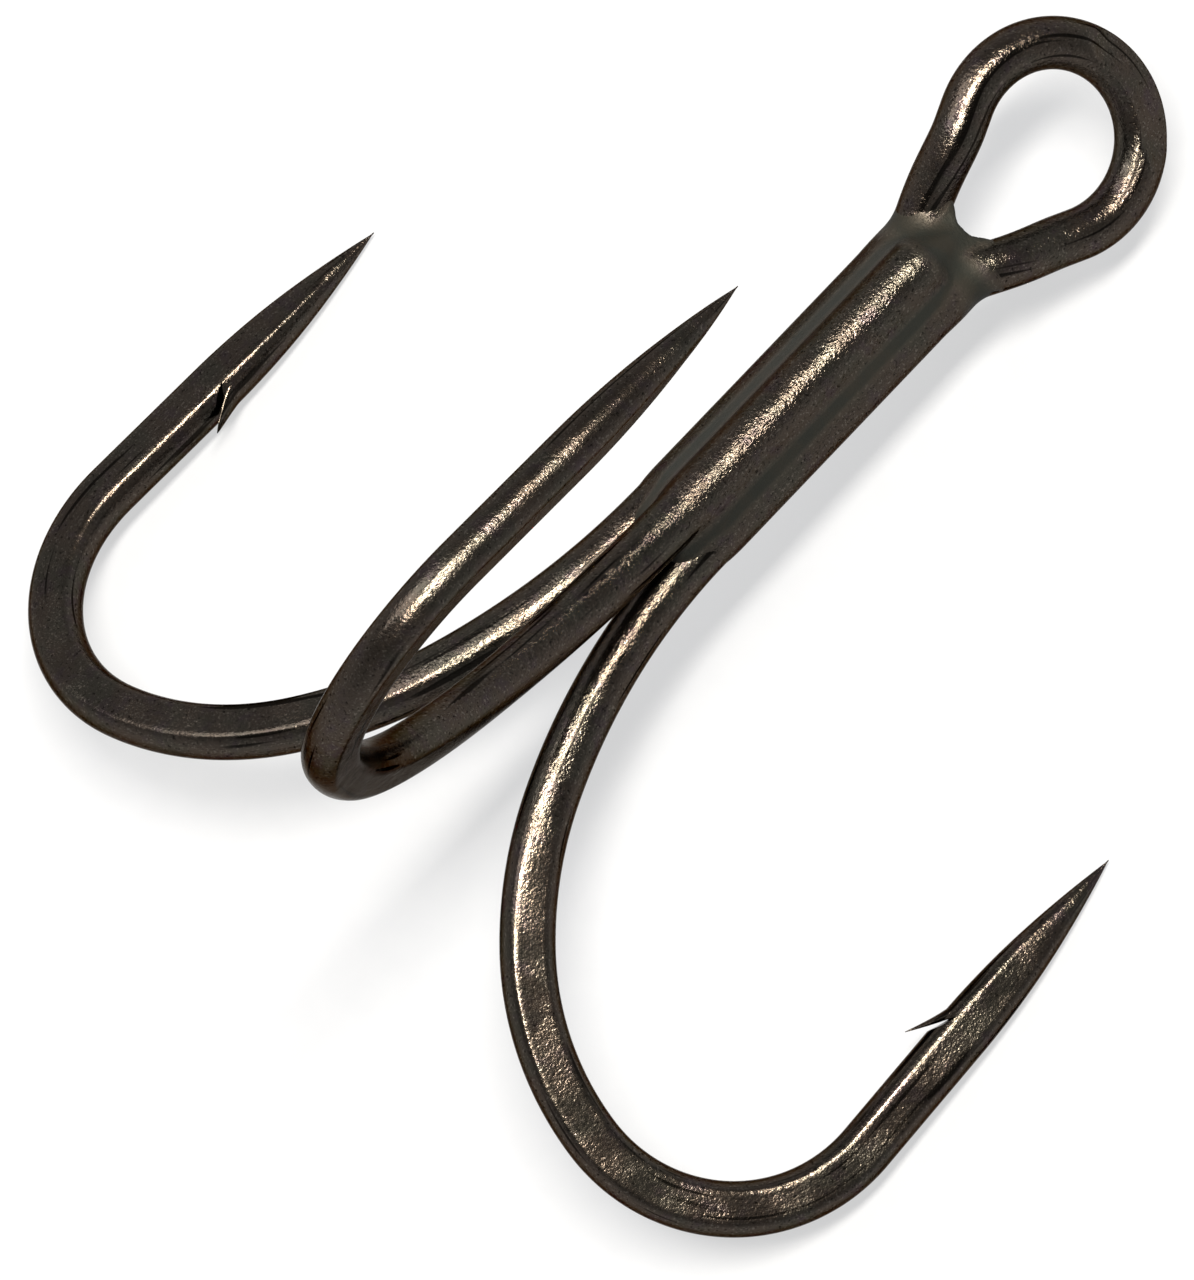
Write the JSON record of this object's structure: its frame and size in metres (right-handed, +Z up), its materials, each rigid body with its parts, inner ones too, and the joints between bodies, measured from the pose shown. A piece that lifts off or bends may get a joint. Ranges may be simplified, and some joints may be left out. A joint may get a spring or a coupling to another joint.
{
  "type": "treble fishing hook",
  "caption": "Barbed treble fishing hook: a bent double hook with a closed eye and a single hook brazed to its shank, with forged flat-sided bends and needle points.",
  "frame": {"origin": "centre of the bounding box in plan, on the ground that the hook rests on", "axes": "+X along the shank towards the eye, +Z up, with the single hook standing up; the hook lies on the outer sides of its two lower bends, with the eye clear of the ground"},
  "size_m": [0.063, 0.0574, 0.0432],
  "materials": {
    "plated_wire": "black-nickel plating over drawn and forged steel wire, satin with fine pits",
    "braze": "dull plated braze, slightly lumpy"
  },
  "bodies": {
    "root": {"double_hook": "plated_wire", "single_hook": "plated_wire", "braze_joint": "braze"}
  },
  "joints": []
}
